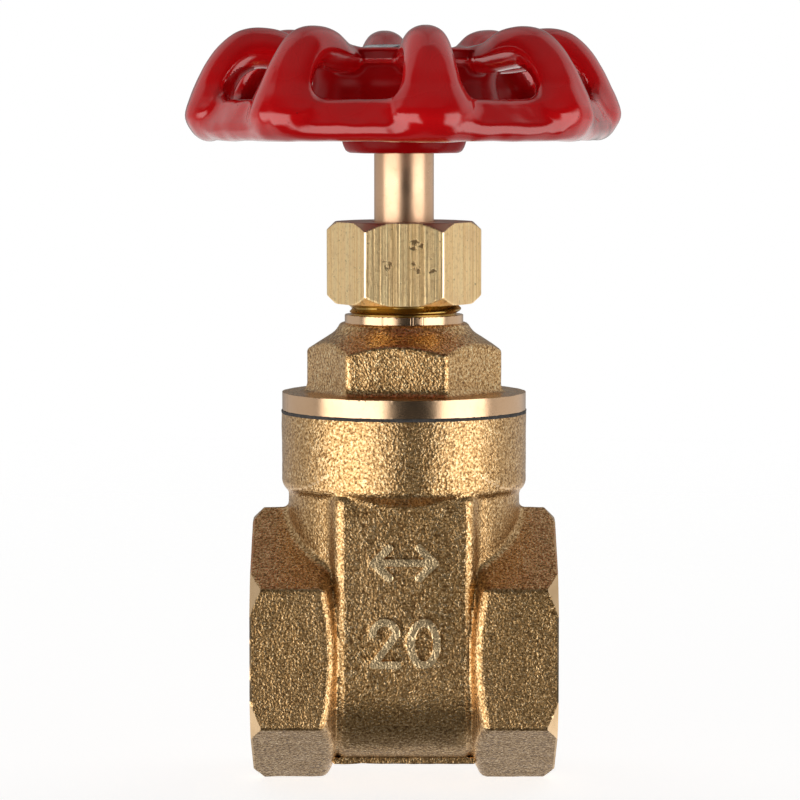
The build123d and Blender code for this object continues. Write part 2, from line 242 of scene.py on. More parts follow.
def capsule_marks(x, z):
    """Distance in the pad's plane to the strokes of the raised marks, less half their width."""
    a = 30.0
    d = seg2(x, z, (-3.9, a), (3.9, a))
    for s in (-1, 1):
        d = np.minimum(d, seg2(x, z, (3.9 * s, a), (1.9 * s, a + 1.9)))
        d = np.minimum(d, seg2(x, z, (3.9 * s, a), (1.9 * s, a - 1.9)))
    b = 19.7
    # the figure 2
    top = np.abs(np.hypot(x + 2.5, z - (b + 1.2)) - 1.5)
    off = np.hypot(x + 4.0, z - (b + 1.2))
    top = np.where(z > b + 1.2, top, np.minimum(off, np.hypot(x + 1.0, z - (b + 1.2))))
    d = np.minimum(d, top)
    d = np.minimum(d, seg2(x, z, (-1.0, b + 1.2), (-3.9, b - 2.7)))
    d = np.minimum(d, seg2(x, z, (-3.9, b - 2.7), (-0.8, b - 2.7)))
    # the figure 0
    rz = 2.7
    rx = 1.65
    k = np.hypot((x - 2.5) / rx, (z - b) / rz)
    g = np.hypot((x - 2.5) / rx ** 2, (z - b) / rz ** 2)
    d = np.minimum(d, np.abs(k * (k - 1.0) / np.maximum(g, 1e-6)))
    return d - 0.5


def body_field(x, y, z):
    ax = np.abs(x)
    ay = np.abs(y)
    zc = z - BZ
    r = np.hypot(y, zc)
    rr = np.hypot(x, y)
    # hexagonal ends
    hexa = hexagon(zc, y, AF / 2, EDGE)
    cone = (-2.4 * (ax - 10.15) + 1.0 * (r - 17.9)) / 2.6
    ends = smax(hexa, cone, 0.9)
    ends = np.maximum(ends, (ax - END_X + r - 16.4) * 0.70711)
    # middle block with its round bottom
    low = np.where(z < 16.53, np.hypot(y, z - 16.53), ay) - 14.0
    block = cut(low, ax - 9.1, 1.7)
    block = cut(block, z - 38.7, 1.2)
    cast = smin(ends, block, 0.6)
    # trimmed mould seam along the underside
    seam = cut(cut(ay - 4.4, np.abs(z - 2.85) - 0.42, 0.12), ax - 9.3, 0.3)
    cast = smin(cast, seam, 0.15)
    shoulder = cut(rr - 15.0, ay - 13.6, 0.8)
    shoulder = np.maximum(np.maximum(shoulder, z - 41.0), BZ - z)
    cast = smin(cast, shoulder, 0.9)
    neck = cut(rr - NECK_R, (rr - z + NECK_Z0 + 0.5 - NECK_R) * 0.70711, 0.45)
    neck = np.maximum(neck, z - NECK_Z1)
    cast = smin(cast, neck, 0.4)
    # raised marks on the front pad
    marks = cut(capsule_marks(x, z), -y - 14.0 - 0.86, 0.14)
    marks = np.maximum(marks, y + 13.0)
    cast = smin(cast, marks, 0.15)
    cast = cast + 0.035 * lumps_a(x, y, z) + 0.02 * lumps_b(x, y, z)
    # turned end faces and their chamfer
    cast = np.maximum(cast, ax - END_X)
    cast = np.maximum(cast, np.where(z < 37.0, (ax - END_X + r - 16.4) * 0.70711, -1.0))
    cast = np.maximum(cast, z - NECK_Z1)
    # threaded sockets, seat bore
    turns = x / PITCH + np.arctan2(zc, y) / (2 * math.pi)
    crest = 13.2 - 1.12 * thread_v(turns)
    crest = np.where(ax < 8.6, 13.25, crest)
    socket = np.maximum(r - crest, 7.1 - ax)
    mouth = (r - 13.2 - (ax - END_X)) * 0.70711
    socket = np.minimum(socket, np.maximum(mouth, 15.0 - ax))
    bore = np.minimum(socket, r - 9.25)
    # pocket of the wedge, chamber and bonnet thread
    pocket = ax - (5.04 + zc * SLOPE)
    outline = np.where(zc < 0, r, ay) - 11.2
    pocket = np.maximum(np.maximum(pocket, outline), z - 34.0)
    chamber = np.maximum(rr - 12.2, 33.0 - z)
    top = np.maximum(rr - 13.65, 41.0 - z)
    hollow = np.minimum(np.minimum(pocket, chamber), top)
    ribs = np.maximum(np.maximum(ax - 1.1, 10.2 - ay), np.maximum(10.0 - z, z - 40.4))
    hollow = np.maximum(hollow, -ribs)
    return np.maximum(cast, -np.minimum(hollow, bore))


def bonnet_field(x, y, z):
    rr = np.hypot(x, y)
    a = math.radians(-5.0)
    u = x * math.cos(a) + y * math.sin(a)
    v = -x * math.sin(a) + y * math.cos(a)
    hexa = hexagon(u, v, 11.1, 1.0)
    cone = (z - 58.7 + (rr - 8.72) * math.tan(math.radians(33))) * math.cos(math.radians(33))
    head = smax(hexa, cone, 0.35)
    head = np.maximum(head, 50.0 - z)
    collar = cut(rr - 8.72 + (z - 58.7) * 0.45, z - 59.65, 0.3)
    collar = np.maximum(collar, 55.0 - z)
    head = smin(head, collar, 0.6)
    slab = np.maximum(np.maximum(rr - FLANGE_R - 0.6, z - FLANGE_Z1), FLANGE_Z0 - z)
    cast = smin(head, slab, 1.3)
    cast = cast + 0.03 * lumps_a(x + 40, y, z) + 0.018 * lumps_b(x, y + 40, z)
    cast = np.maximum(cast, FLANGE_Z0 - z)
    cast = np.maximum(cast, rr - FLANGE_R)
    plug = np.maximum(rr - 13.6, 41.3 - z)
    plug = np.maximum(plug, z - 49.0)
    cast = np.minimum(cast, plug)
    ring = np.maximum(cut(rr - 7.7, z - 60.75, 0.15), 58.5 - z)
    cast = np.minimum(cast, ring)
    p = 1.5
    turns = z / p - np.arctan2(y, x) / (2 * math.pi)
    out = 6.8 + 0.62 * thread_v(turns, 0.1) * np.clip((z - 60.9) / 0.3, 0.0, 1.0)
    neck = np.maximum(rr - out, 59.0 - z)
    neck = np.maximum(neck, (z - 66.4 + rr - 7.0) * 0.70711)
    neck = np.maximum(neck, z - 67.0)
    cast = np.minimum(cast, neck)
    cavity = np.maximum(rr - 12.2, z - 45.0)
    cavity = np.minimum(cavity, np.maximum((rr - 9.0 + (z - 49.0) * 0.8) * 0.78, np.maximum(z - 49.0, 44.0 - z)))
    cavity = np.minimum(cavity, np.maximum(rr - 9.0, np.maximum(z - 51.6, 48.0 - z)))
    cavity = np.minimum(cavity, np.maximum(rr - 8.0, np.maximum(z - 54.65, 51.0 - z)))
    cavity = np.minimum(cavity, np.maximum(rr - 6.7, np.maximum(z - 56.5, 54.0 - z)))
    cavity = np.minimum(cavity, rr - 3.95)
    cavity = np.minimum(cavity, np.maximum(rr - 5.75, 59.6 - z))
    return np.maximum(cast, -cavity)


def nut_field(x, y, z):
    rr = np.hypot(x, y)
    d = hexagon(x, y, 8.75, 0.5)
    d = d + 0.012 * lumps_b(x * 3, y * 3, z * 0.3)
    bev = 0.98
    d = smax(d, (z - 72.8 + (rr - 8.95) * bev) / math.hypot(1, bev), 0.12)
    d = smax(d, (62.2 - z + (rr - 8.95) * bev) / math.hypot(1, bev), 0.12)
    d = smax(d, z - 72.8, 0.08)
    d = smax(d, 62.2 - z, 0.08)
    bore = np.maximum(rr - 7.65, z - 69.6)
    bore = np.minimum(bore, (rr - 8.1 + (z - 62.2)) * 0.70711)
    bore = np.minimum(bore, rr - 4.1)
    bore = np.minimum(bore, (rr - 4.1 - (z - 72.5)) * 0.70711)
    return np.maximum(d, -bore)


def wheel_nut_field(x, y, z):
    rr = np.hypot(x, y)
    a = math.radians(4.0)
    u = x * math.cos(a) + y * math.sin(a)
    v = -x * math.sin(a) + y * math.cos(a)
    d = hexagon(u, v, 5.0, 0.12)
    d = smax(d, (z - 95.55 + (rr - 4.8) * 0.55) / 1.141, 0.1)
    d = smax(d, (91.0 - z + (rr - 5.0) * 0.55) / 1.141, 0.1)
    d = np.maximum(np.maximum(d, z - 95.55), 91.0 - z)
    bore = np.minimum(rr - 3.03, (rr - 3.35 - (z - 95.55)) * 0.70711)
    return np.maximum(d, -bore)


# ------------------------------------------------------------- the handwheel
# outline of an arm in the (R, z) plane: over the crest, down the outside, back under the arch to the hub
ARM_TOP = [(4.0, 95.1), (8.0, 95.1), (11.0, 95.25), (13.2, 95.85), (15.6, 97.2), (18.0, 97.72), (20.3, 97.62), (22.3, 96.85), (24.2, 95.2),
           (25.75, 93.0), (26.9, 90.7), (27.75, 88.8), (28.25, 87.4), (28.3, 86.4), (27.8, 85.6), (26.9, 85.1)]
ARM_UNDER = [(25.6, 85.0), (24.0, 86.0), (22.9, 87.4), (22.3, 89.0), (21.7, 90.3), (21.0, 91.3), (20.1, 92.0), (19.1, 92.4), (17.9, 92.4),
             (16.6, 92.25), (15.4, 92.05), (14.2, 91.9), (12.8, 91.8), (11.4, 91.8), (8.0, 91.8), (4.0, 91.8)]


def spline(points, per=8):
    p = np.asarray([points[0]] + list(points) + [points[-1]], float)
    out = []
    for i in range(1, len(p) - 2):
        for t in np.arange(per) / per:
            out.append(0.5 * (2 * p[i] + (p[i + 1] - p[i - 1]) * t + (2 * p[i - 1] - 5 * p[i] + 4 * p[i + 1] - p[i + 2]) * t * t
                              + (3 * p[i] - p[i - 1] - 3 * p[i + 1] + p[i + 2]) * t ** 3))
    out.append(p[-2])
    return np.asarray(out)


class Table:
    """Signed distance to a closed outline in the (R, z) plane, negative inside, tabulated once."""

    def __init__(self, points, lo, hi, step=0.06):
        self.lo, self.step = lo, step
        u = np.arange(lo[0], hi[0], step)
        z = np.arange(lo[1], hi[1], step)
        U, Z = np.meshgrid(u, z, indexing="ij")
        d = np.full(U.shape, 1e3)
        odd = np.zeros(U.shape, dtype=bool)
        for a, b in zip(points, np.roll(points, -1, axis=0)):
            d = np.minimum(d, seg2(U, Z, a, b))
            if a[1] != b[1]:
                odd ^= ((a[1] > Z) != (b[1] > Z)) & (U < (b[0] - a[0]) * (Z - a[1]) / (b[1] - a[1]) + a[0])
        self.d = np.where(odd, -d, d)

    def __call__(self, u, z):
        i = np.clip((u - self.lo[0]) / self.step, 0, self.d.shape[0] - 1.001)
        j = np.clip((z - self.lo[1]) / self.step, 0, self.d.shape[1] - 1.001)
        a, b = i.astype(np.int64), j.astype(np.int64)
        f, g = i - a, j - b
        return (self.d[a, b] * (1 - f) * (1 - g) + self.d[a + 1, b] * f * (1 - g) + self.d[a, b + 1] * (1 - f) * g + self.d[a + 1, b + 1] * f * g)


arm_shape = Table(np.vstack([spline(ARM_TOP, 6), spline(ARM_UNDER, 6)]), (-31.0, 78.0), (31.0, 101.0))
drips = Lumps(21, 1.5)
runs = Lumps(22, 4.0)
waves = Lumps(23, 2.7)


def wheel_field(x, y, z):
    R = np.hypot(x, y)
    # fold the eight arms onto one: bearing 8 degrees from -Y towards +X
    th = np.arctan2(x, -y) - math.radians(8.0)
    th = (th + math.pi / 8) % (math.pi / 4) - math.pi / 8
    u = R * np.cos(th)
    t = R * np.sin(th)
    at = np.abs(t)
    foot = np.clip((97.0 - z) / 11.0, 0.0, 1.0)
    width = 2.85 + 1.6 * foot * foot * (3 - 2 * foot)
    arm = cut(arm_shape(u, z), at - width, 2.7 + 1.2 * foot)
    # rim between the arms, a little drawn in at the middle of each span: round below, leaning in above
    shift = 0.4 + 0.4 * np.cos(math.pi * np.clip(at / 9.6, 0.0, 1.0))
    ru = R - 24.7 - shift
    rz = z - 85.0
    tt = np.clip((ru * -0.9 + rz * 2.25) / (0.9 ** 2 + 2.25 ** 2), 0.0, 1.0)
    rim = np.hypot(ru + 0.9 * tt, rz - 2.25 * tt) - (1.65 - 0.35 * tt)
    d = smin(arm, rim, 2.7)
    # central plate, the skirt under it and the hub inside the skirt
    waist = 0.45 * np.sin(math.pi * np.clip((z - 87.8) / 5.6, 0.0, 1.0)) ** 2
    drum = cut(R - 12.3 + waist, np.abs(z - 90.4) - 3.9, 0.7)
    drum = smax(drum, -np.maximum(np.abs(R - 9.3) - 1.3, z - 92.4), 0.3)
    d = smin(d, drum, 0.7)
    plate = cut(R - 12.9, np.abs(z - 94.15) - 0.95, 0.55)
    d = smin(d, plate, 0.7)
    hub = R - (8.05 + 0.1 * np.clip((z - 86.0) / 3.0, 0.0, 1.0))
    hub = cut(hub, 81.65 - z, 0.3)
    hub = smax(hub, (81.65 - z + (R - 7.35) * 1.55) / 1.845, 0.5)
    hub = np.maximum(hub, z - 94.0)
    d = smin(d, hub, 0.6)
    # the dipped coat runs and hangs in waves along the foot of the rim
    low = np.clip((90.0 - z) / 4.0, 0.0, 1.0) * np.clip((R - 20.0) / 2.0, 0.0, 1.0)
    d = d + 0.05 * runs(x, y, z) + 0.02 * drips(x, y, z) + 0.11 * low * waves(x, y, z * 0.8)
    # flat top of the plate
    d = smax(d, z - 95.08 - 1.6 * np.maximum(R - 11.4, 0.0), 0.25)
    # recess for the nut, square for the stem
    a = math.radians(8.0)
    q = np.maximum(np.abs(x * math.cos(a) + y * math.sin(a)), np.abs(-x * math.sin(a) + y * math.cos(a))) - 3.05
    d = np.maximum(d, z - 97.85)
    hole = np.minimum(smax(R - 6.6, 91.0 - z, 0.3), q)
    d = smax(d, -hole, 0.35)
    return np.maximum(d, 81.62 - z)


def build(name, field, lo, hi, h, sharp=32.0):
    v, f = contour(field, lo, hi, h * LEVEL)
    print(f"{name}: {len(v)} points, {len(f)} faces")
    return mesh_from(name, v, f, sharp)


# ------------------------------------------------------- turned small pieces
def rings(name, loops, closed=False, sharp=32.0):
    """Surface through rings of points, loops[m][n] = (x, y, z); ends capped, or joined if closed."""
    loops = np.asarray(loops, float)
    m, n = loops.shape[:2]
    verts = list(map(tuple, (loops.reshape(-1, 3) * MM)))
    faces = []
    for i in range(m if closed else m - 1):
        a, b = i * n, ((i + 1) % m) * n
        for j in range(n):
            k = (j + 1) % n
            faces.append((a + j, a + k, b + k, b + j))
    if not closed:
        for base, flip in ((0, True), ((m - 1) * n, False)):
            c = len(verts)
            ring = verts[base:base + n]
            verts.append(tuple(sum(v[q] for v in ring) / n for q in range(3)))
            for j in range(n):
                k = (j + 1) % n
                faces.append((base + k, base + j, c) if flip else (base + j, base + k, c))
    me = bpy.data.meshes.new(name)
    me.from_pydata(verts, [], faces)
    me.update()
    me.polygons.foreach_set("use_smooth", np.ones(len(me.polygons), dtype=bool))
    me.set_sharp_from_angle(angle=math.radians(sharp))
    ob = bpy.data.objects.new(name, me)
    bpy.context.collection.objects.link(ob)
    return ob


def polar(name, stations, n=144, sharp=32.0):
    """stations: list of (z, radius) where radius is a number or a function of the bearing."""
    th = np.arange(n) * 2 * math.pi / n
    loops = []
    for z, r in stations:
        rad = r(th) if callable(r) else np.full(n, float(r))
        loops.append(np.stack([rad * np.cos(th), rad * np.sin(th), np.full(n, z)], 1))
    return rings(name, loops, False, sharp)


def stem_stations():
    st = [(27.3, 2.3), (27.9, 2.9)]

    def lead(z):
        fade = min(1.0, max(0.0, (z - 27.6) / 1.2)) * min(1.0, max(0.0, (51.6 - z) / 0.8))
        return lambda th: 2.75 + 0.72 * fade * np.clip(1.9 * np.abs((((z / 2.5) + th / (2 * math.pi)) % 1.0) * 2 - 1) - 0.45, 0, 1)

    for z in np.arange(28.0, 51.7, 0.125):
        st.append((float(z), lead(float(z))))
    st += [(51.8, 2.9), (52.1, 3.2), (54.65, 3.2), (54.65, 6.25), (54.8, 6.4), (56.3, 6.4), (56.45, 6.25), (56.45, 3.75), (56.7, 3.865)]
    for z in np.arange(60.0, 81.5, 1.5):
        st.append((float(z), 3.865))
    st.append((81.65, 3.865))

    def square(th):
        q = th - math.radians(8.0)
        return np.minimum(3.865, 3.0 / np.maximum(np.abs(np.cos(q)), np.abs(np.sin(q))))

    st += [(81.66, square), (90.38, square), (90.4, 2.55)]

    def m6(z):
        fade = min(1.0, max(0.0, (z - 90.4) / 0.5)) * min(1.0, max(0.0, (95.35 - z) / 0.4))
        return lambda th: 2.45 + 0.52 * fade * np.abs(((z - th / (2 * math.pi)) % 1.0) * 2 - 1)

    for z in np.arange(90.5, 95.1, 0.08):
        st.append((float(z), m6(float(z))))
    st += [(95.2, 2.5), (95.4, 2.1)]
    return st


def gasket_ring():
    n = 720
    rng = np.random.default_rng(5)
    th = np.arange(n) * 2 * math.pi / n

    def rough(amp, terms):
        out = np.zeros(n)
        for k in terms:
            out += rng.normal() * np.cos(k * th + rng.uniform(0, 6.28)) / math.sqrt(len(terms))
        return amp * out

    edge = 15.93 + rough(0.05, range(5, 40)) + rough(0.035, range(60, 160))
    low = 47.99 - np.clip(rough(0.03, range(8, 90)), -0.01, 0.06)
    top = 48.41 + np.clip(rough(0.02, range(8, 90)), -0.01, 0.04)
    sec = [(np.full(n, 13.72), np.full(n, 48.0)), (np.full(n, 15.85), np.full(n, 48.0)), (edge - 0.05, low), (edge, 48.2 + 0 * th),
           (edge - 0.06, top), (np.full(n, 15.8), np.full(n, 48.4)), (np.full(n, 13.72), np.full(n, 48.4))]
    loops = [np.stack([r * np.cos(th), r * np.sin(th), z], 1) for r, z in sec]
    return rings("gasket_sheet", loops[::-1], True, 60.0)


# ------------------------------------------------------------------ materials
class Nodes:
    def __init__(self, name):
        self.mat = bpy.data.materials.new(name)
        self.mat.use_nodes = True
        self.t = self.mat.node_tree
        self.bsdf = next(n for n in self.t.nodes if n.type == "BSDF_PRINCIPLED")
        self.co = self.t.nodes.new("ShaderNodeTexCoord").outputs["Object"]

    def new(self, kind, **props):
        n = self.t.nodes.new(kind)
        for k, v in props.items():
            setattr(n, k, v)
        return n

    def link(self, a, b):
        self.t.links.new(a, b)

    def scaled(self, sx, sy, sz):
        m = self.new("ShaderNodeMapping")
        m.inputs["Scale"].default_value = (sx, sy, sz)
        self.link(self.co, m.inputs["Vector"])
        return m.outputs["Vector"]

    def noise(self, scale, detail=2.0, rough=0.5, vector=None, distortion=0.0):
        n = self.new("ShaderNodeTexNoise")
        n.inputs["Scale"].default_value = scale
        n.inputs["Detail"].default_value = detail
        n.inputs["Roughness"].default_value = rough
        n.inputs["Distortion"].default_value = distortion
        self.link(vector or self.co, n.inputs["Vector"])
        return n.outputs["Fac"]

    def voronoi(self, scale, feature="F1", vector=None, rand=1.0):
        n = self.new("ShaderNodeTexVoronoi", feature=feature)
        n.inputs["Scale"].default_value = scale
        n.inputs["Randomness"].default_value = rand
        self.link(vector or self.co, n.inputs["Vector"])
        return n.outputs["Distance"]

    def ramp(self, fac, stops):
        n = self.new("ShaderNodeValToRGB")
        r = n.color_ramp
        while len(r.elements) < len(stops):
            r.elements.new(0.5)
        for e, (p, c) in zip(r.elements, stops):
            e.position = p
            e.color = (c, c, c, 1.0) if isinstance(c, (int, float)) else (*c, 1.0)
        self.link(fac, n.inputs["Fac"])
        return n.outputs["Color"]

    def mix(self, fac, a, b, blend="MIX"):
        n = self.new("ShaderNodeMix", data_type="RGBA", blend_type=blend)
        for sock, v in ((n.inputs[0], fac), (n.inputs[6], a), (n.inputs[7], b)):
            if isinstance(v, (int, float)):
                sock.default_value = v
            elif isinstance(v, tuple):
                sock.default_value = (*v, 1.0)
            else:
                self.link(v, sock)
        return n.outputs[2]

    def math(self, op, a, b=0.0, c=0.0):
        n = self.new("ShaderNodeMath", operation=op)
        for sock, v in zip(n.inputs, (a, b, c)):
            if isinstance(v, (int, float)):
                sock.default_value = v
            else:
                self.link(v, sock)
        return n.outputs[0]

    def remap(self, v, a, b, c, d):
        n = self.new("ShaderNodeMapRange")
        for sock, q in zip(n.inputs, (v, a, b, c, d)):
            if isinstance(q, (int, float)):
                sock.default_value = q
            else:
                self.link(q, sock)
        return n.outputs[0]

    def bump(self, height, strength, distance, normal=None):
        n = self.new("ShaderNodeBump")
        n.inputs["Strength"].default_value = strength
        n.inputs["Distance"].default_value = distance
        self.link(height, n.inputs["Height"])
        if normal is not None:
            self.link(normal, n.inputs["Normal"])
        return n.outputs["Normal"]

    def set(self, name, v):
        s = self.bsdf.inputs[name]
        if isinstance(v, (int, float)):
            s.default_value = v
        elif isinstance(v, tuple):
            s.default_value = (*v, 1.0)
        else:
            self.link(v, s)


def cast_brass(name, tint=1.0, worn_and_highlight=0.0):
    """Shot-blasted brass: bright grain tips, brown in the pits, soft patches; the last argument lightens the raised
    marks, wear together with a painted highlight; tint scales the colours.
    """
    n = Nodes(name)
    grain = n.noise(3100.0, 2.0, 0.65)
    fleck = n.voronoi(3400.0, "F1")
    patch = n.noise(330.0, 3.0, 0.6)
    wide = n.noise(70.0, 2.0, 0.5)

    def tone(r, g, b):
        return (min(1.0, r * tint), min(1.0, g * tint), min(1.0, b * tint))

    col = n.ramp(grain, [(0.34, tone(0.12, 0.056, 0.018)), (0.46, tone(0.52, 0.30, 0.112)), (0.56, tone(0.86, 0.555, 0.255)), (0.67, tone(1.0, 0.76, 0.45))])
    col = n.mix(n.ramp(fleck, [(0.32, 0.0), (0.80, 0.45)]), col, tone(0.22, 0.11, 0.034))
    col = n.mix(n.ramp(patch, [(0.42, 0.0), (0.85, 0.30)]), col, tone(0.46, 0.255, 0.095))
    col = n.mix(n.ramp(wide, [(0.40, 0.0), (0.85, 0.20)]), col, tone(0.66, 0.44, 0.24))
    # lighter tone of the raised marks: wear and painted highlight
    if worn_and_highlight:
        col = n.mix(0.62, col, (1.0, 0.78, 0.46))
    n.set("Base Color", col)
    n.set("Metallic", 0.97)
    n.set("Roughness", n.remap(grain, 0.3, 0.7, 0.35, 0.24))
    h = n.math("ADD", n.math("MULTIPLY", grain, 1.0), n.math("MULTIPLY", fleck, -0.6))
    h = n.math("ADD", h, n.math("MULTIPLY", n.noise(1100.0, 2.0, 0.5), 0.7))
    n.set("Normal", n.bump(h, 1.0, 0.000062))
    return n.mat


def turned_brass(name, tone=(0.90, 0.63, 0.37), rough=0.2, lines=4200.0, wear=0.35, scratch=0.0):
    """Lathe-turned brass: fine rings along Z, a few scratches, faint tarnish."""
    n = Nodes(name)
    ring = n.noise(1.0, 3.0, 0.7, n.scaled(30.0, 30.0, lines))
    tarn = n.noise(170.0, 4.0, 0.6)
    fine = n.noise(1400.0, 2.0, 0.5)
    dark = tuple(c * f for c, f in zip(tone, (0.72, 0.62, 0.48)))
    col = n.mix(n.ramp(tarn, [(0.40, 0.0), (0.78, wear)]), tone, dark)
    col = n.mix(n.ramp(fine, [(0.60, 0.0), (0.80, 0.35)]), col, dark)
    n.set("Base Color", col)
    n.set("Metallic", 1.0)
    n.set("Roughness", n.remap(tarn, 0.3, 0.8, rough * 0.85, rough * 1.5))
    h = n.math("ADD", ring, n.math("MULTIPLY", fine, 0.9))
    if scratch:
        m = n.new("ShaderNodeMapping")
        m.inputs["Rotation"].default_value = (0.35, 0.30, 0.0)
        m.inputs["Scale"].default_value = (1500.0, 1500.0, 70.0)
        n.link(n.co, m.inputs["Vector"])
        cutline = n.ramp(n.noise(1.0, 1.0, 0.5, m.outputs["Vector"]), [(0.70, 0.0), (0.74, 1.0)])
        cutline = n.math("MULTIPLY", cutline, n.ramp(n.noise(110.0, 1.0, 0.5), [(0.56, 0.0), (0.60, 1.0)]))
        h = n.math("SUBTRACT", h, n.math("MULTIPLY", cutline, scratch))
    n.set("Normal", n.bump(h, 0.5, 0.000014))
    return n.mat


def faced_brass(name):
    """The turned faces square to the waterway: fine rings about X."""
    n = Nodes(name)
    sep = n.new("ShaderNodeSeparateXYZ")
    n.link(n.co, sep.inputs[0])
    y = sep.outputs[1]
    z = n.math("SUBTRACT", sep.outputs[2], BZ * MM)
    r = n.math("SQRT", n.math("ADD", n.math("MULTIPLY", y, y), n.math("MULTIPLY", z, z)))
    comb = n.new("ShaderNodeCombineXYZ")
    n.link(r, comb.inputs[0])
    n.link(n.math("MULTIPLY", sep.outputs[0], 0.35), comb.inputs[1])
    ring = n.noise(3800.0, 3.0, 0.7, comb.outputs[0])
    tarn = n.noise(210.0, 4.0, 0.6)
    col = n.mix(n.ramp(tarn, [(0.38, 0.0), (0.75, 0.45)]), (0.88, 0.62, 0.36), (0.56, 0.36, 0.17))
    n.set("Base Color", col)
    n.set("Metallic", 1.0)
    n.set("Roughness", n.remap(tarn, 0.3, 0.8, 0.22, 0.36))
    n.set("Normal", n.bump(ring, 0.4, 0.000016))
    return n.mat


def drawn_brass(name, worn=0.0):
    """Drawn hexagon bar: lengthwise draw marks, a few dark stains; worn=1 is its rubbed corners."""
    n = Nodes(name)
    draw = n.noise(1.0, 2.0, 0.6, n.scaled(3600.0, 3600.0, 22.0))
    coarse = n.noise(1.0, 1.0, 0.5, n.scaled(900.0, 900.0, 30.0))
    cloud = n.noise(260.0, 3.0, 0.6)
    ragged = n.noise(1600.0, 3.0, 0.65)
    stain = 0.0
    for x, z, r in ((1.35, 70.4, 0.95), (1.1, 69.6, 0.7), (-1.9, 67.3, 0.85), (1.7, 66.9, 0.8), (3.7, 66.7, 0.7), (2.2, 69.9, 0.6), (-2.6, 67.9, 0.5),
                    (1.2, 67.6, 0.5), (-8.2, 70.6, 0.6), (-7.9, 65.2, 0.5)):
        away = n.new("ShaderNodeVectorMath", operation="DISTANCE")
        n.link(n.co, away.inputs[0])
        y = -8.75 if abs(x) < 5 else -5.2
        away.inputs[1].default_value = (x * MM, y * MM, z * MM)
        near = n.remap(away.outputs["Value"], 0.0, r * MM, 0.31, 0.0)
        stain = n.math("MAXIMUM", stain, near)
    stain = n.ramp(n.math("ADD", n.math("MULTIPLY", ragged, 0.9), stain), [(0.57, 0.0), (0.68, 1.0)])
    grit = n.noise(1900.0, 2.0, 0.6)
    if worn:
        col = n.mix(n.ramp(draw, [(0.35, 0.0), (0.7, 0.35)]), (1.0, 0.82, 0.56), (0.80, 0.58, 0.32))
        n.set("Base Color", col)
        n.set("Metallic", 1.0)
        n.set("Roughness", n.remap(coarse, 0.3, 0.7, 0.24, 0.34))
        n.set("Normal", n.bump(draw, 0.4, 0.00002))
        return n.mat
    col = n.ramp(draw, [(0.30, (0.72, 0.47, 0.19)), (0.42, (1.0, 0.70, 0.34)), (0.68, (1.0, 0.81, 0.45))])
    col = n.mix(n.ramp(coarse, [(0.48, 0.0), (0.78, 0.25)]), col, (0.66, 0.44, 0.20))
    col = n.mix(n.ramp(grit, [(0.50, 0.0), (0.72, 0.45)]), col, (0.60, 0.38, 0.17))
    col = n.mix(n.ramp(cloud, [(0.50, 0.0), (0.80, 0.5)]), col, (0.72, 0.46, 0.23))
    col = n.mix(n.math("MULTIPLY", stain, 0.85), col, (0.14, 0.08, 0.035))
    n.set("Base Color", col)
    n.set("Metallic", 1.0)
    n.set("Roughness", n.remap(coarse, 0.3, 0.7, 0.36, 0.44))
    h = n.math("SUBTRACT", n.math("ADD", draw, n.math("MULTIPLY", coarse, 0.22)), n.math("MULTIPLY", stain, 0.4))
    h = n.math("ADD", h, n.math("MULTIPLY", grit, 0.35))
    n.set("Normal", n.bump(h, 1.0, 0.000072))
    return n.mat


def red_enamel(name, shade=0.0):
    """Thick dipped enamel: deep red beneath a glossy, slightly wavy coat, darkened towards the foot of the rim as
    painted shade; shade=1 is a darker copy with a weak, rough coat, painted shade for the skirt, hub, plate edge and
    the faces inside the rim.
    """
    n = Nodes(name)
    peel = n.noise(420.0, 2.0, 0.5)
    hang = n.noise(1.0, 1.0, 0.5, n.scaled(260.0, 260.0, 300.0))
    height = n.new("ShaderNodeSeparateXYZ")
    n.link(n.co, height.inputs[0])
    foot = n.remap(height.outputs[2], 0.0905, 0.0875, 0.4, 1.7)
    wave = n.noise(130.0, 2.0, 0.5)
    dust = n.voronoi(900.0, "F1")
    rare = n.noise(240.0, 1.0, 0.5)
    speck = n.math("MULTIPLY", n.ramp(dust, [(0.06, 1.0), (0.14, 0.0)]), n.ramp(rare, [(0.60, 0.0), (0.66, 1.0)]))
    col = n.mix(n.ramp(wave, [(0.3, 0.0), (0.75, 1.0)]), (0.60, 0.0026, 0.0050), (0.50, 0.0018, 0.0038))
    # the shaded copy: colour darkened, painted shade
    if shade:
        col = n.mix(0.6, col, (0.16, 0.0006, 0.0010))
    # painted shade: the colour darkens towards the foot of the rim
    painted_underside_shade = n.remap(height.outputs[2], 0.0862, 0.0836, 0.0, 0.55)
    col = n.mix(painted_underside_shade, col, (0.20, 0.0012, 0.0018))
    col = n.mix(n.math("MULTIPLY", speck, 0.5), col, (0.10, 0.001, 0.002))
    n.set("Base Color", col)
    n.set("Metallic", 0.0)
    n.set("Roughness", n.remap(wave, 0.3, 0.7, 0.22, 0.30))
    n.set("Specular IOR Level", 0.03 if shade else 0.35)
    n.set("Specular Tint", (1.0, 0.16, 0.13))
    n.set("Coat Weight", 0.12 if shade else 1.0)
    n.set("Coat Roughness", 0.25 if shade else 0.07)
    n.set("Coat IOR", 1.58)
    h = n.math("ADD", n.math("MULTIPLY", wave, 0.6), n.math("MULTIPLY", peel, 0.12))
    h = n.math("ADD", h, n.math("ADD", n.math("MULTIPLY", speck, 0.1), n.math("MULTIPLY", hang, foot)))
    b = n.bump(h, 0.8, 0.00022)
    n.set("Normal", b)
    n.link(b, n.bsdf.inputs["Coat Normal"])
    return n.mat


